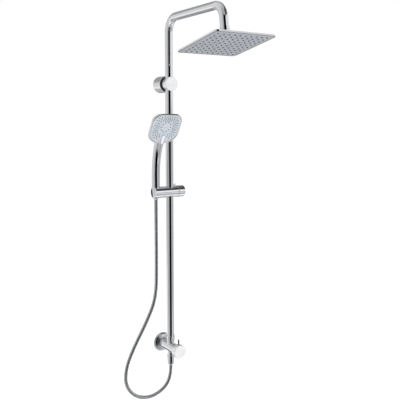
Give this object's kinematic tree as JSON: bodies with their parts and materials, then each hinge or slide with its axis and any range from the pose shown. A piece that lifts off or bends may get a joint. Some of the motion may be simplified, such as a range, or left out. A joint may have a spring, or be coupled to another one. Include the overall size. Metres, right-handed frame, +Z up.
{
  "type": "rainfall shower column",
  "caption": "Wall-mounted shower column: bent riser with a thin square rain head, sliding handset holder with a square hand shower, hose and lever-pin diverter.",
  "frame": {"origin": "centre of the lower water inlet, on the finished wall's surface", "axes": "+Z up, +Y into the wall, +X to the right of a person who faces the wall; the column stands at negative Y"},
  "size_m": [0.2778, 0.4972, 1.2637],
  "materials": {
    "chrome": "polished chrome plate on brass",
    "chrome_plastic": "chrome-plated plastic",
    "brass": "machined",
    "steel": "zinc-plated",
    "black_rubber": "soft",
    "grey_silicone": "soft silicone",
    "spray_face": "smooth pale grey-blue plastic",
    "white_plastic": "smooth white plastic",
    "grey_plastic": "moulded acetal",
    "ceramic": "cartridge housing",
    "hose_steel": "coiled chrome hose"
  },
  "bodies": {
    "column": {"wall_inlet": "brass", "lower_rosette": "chrome", "rosette_seal": "black_rubber", "diverter_body": "chrome", "neck_nut": "chrome", "diverter_cartridge": "ceramic", "lower_hose_nut": "chrome", "outlet_washer": "black_rubber", "riser_tube": "chrome", "gooseneck_arm": "chrome", "joining_sleeve": "brass", "sleeve_seals": "black_rubber", "arm_end_fitting": "chrome", "wall_disc": "grey_plastic", "wall_screw_lower": "steel", "wall_screw_upper": "steel", "bracket_cup": "chrome", "cup_ring": "black_rubber", "bracket_grub_screw": "steel", "bracket_body": "chrome", "tube_clamp_screw": "steel", "bracket_cap": "chrome", "hose_tube": "hose_steel"},
    "diverter_handle": {"diverter_spindle": "brass", "diverter_knob": "chrome", "knob_pin": "chrome", "knob_inlay": "chrome"},
    "slider": {"slider_body": "chrome_plastic", "slider_bush": "grey_plastic", "hose_upper_length": "hose_steel"},
    "slider_clamp": {"clamp_knob": "chrome_plastic", "clamp_stem": "brass"},
    "button": {"release_button": "white_plastic"},
    "holder": {"handset_holder": "chrome_plastic", "jaw_pad": "black_rubber", "holder_pivot": "grey_plastic", "hose_top_length": "hose_steel"},
    "handset": {"handset_shell": "chrome_plastic", "handset_rim": "chrome_plastic", "handset_spray_plate": "spray_face", "handset_water_box": "grey_plastic", "handset_outer_nozzles": "grey_silicone", "handset_inner_nozzles": "grey_silicone", "handset_spigot": "chrome", "upper_hose_nut": "chrome", "handset_washer": "black_rubber"},
    "lever": {"selector_lever": "white_plastic"},
    "ball": {"ball_stem": "chrome"},
    "rain_head": {"ball_seat": "white_plastic", "socket_nut": "chrome", "head_shell": "chrome_plastic", "head_spray_face": "spray_face", "head_nozzles": "grey_silicone"}
  },
  "joints": [
    {"name": "diverter_turn", "type": "hinge", "parent": "column", "child": "diverter_handle", "pos_m": [0, -0.115, 0], "axis": [0, 1, 0], "range_deg": [-90, 90]},
    {"name": "slider_height", "type": "slide", "parent": "column", "child": "slider", "axis": [0, 0, 1], "range_m": [-0.3, 0.12], "deforming": ["hose_tube"]},
    {"name": "clamp_turn", "type": "hinge", "parent": "slider", "child": "slider_clamp", "pos_m": [0.038, -0.06, 0.531], "axis": [1, 0, 0], "range_deg": [0, 120]},
    {"name": "button_press", "type": "slide", "parent": "slider", "child": "button", "axis": [0, 0, -1], "range_m": [0, 0.0025], "stiffness_N_per_m": 600},
    {"name": "holder_tilt", "type": "hinge", "parent": "slider", "child": "holder", "pos_m": [-0.03, -0.06, 0.531], "axis": [1, 0, 0], "range_deg": [0, 25], "deforming": ["hose_upper_length"]},
    {"name": "handset_lift", "type": "slide", "parent": "holder", "child": "handset", "axis": [0, 0, 1], "range_m": [0, 0.045], "deforming": ["hose_top_length"]},
    {"name": "selector_turn", "type": "hinge", "parent": "handset", "child": "lever", "pos_m": [-0.052, -0.11227, 0.71417], "axis": [0, -0.8434, -0.5373], "range_deg": [-18, 18]},
    {"name": "head_swivel", "type": "hinge", "parent": "column", "child": "ball", "pos_m": [0, -0.3738, 0.99489], "axis": [0, 0.1392, 0.9903], "range_deg": [-90, 90]},
    {"name": "head_tilt", "type": "hinge", "parent": "ball", "child": "rain_head", "pos_m": [0, -0.3738, 0.99489], "axis": [1, 0, 0], "range_deg": [-10, 10]}
  ]
}
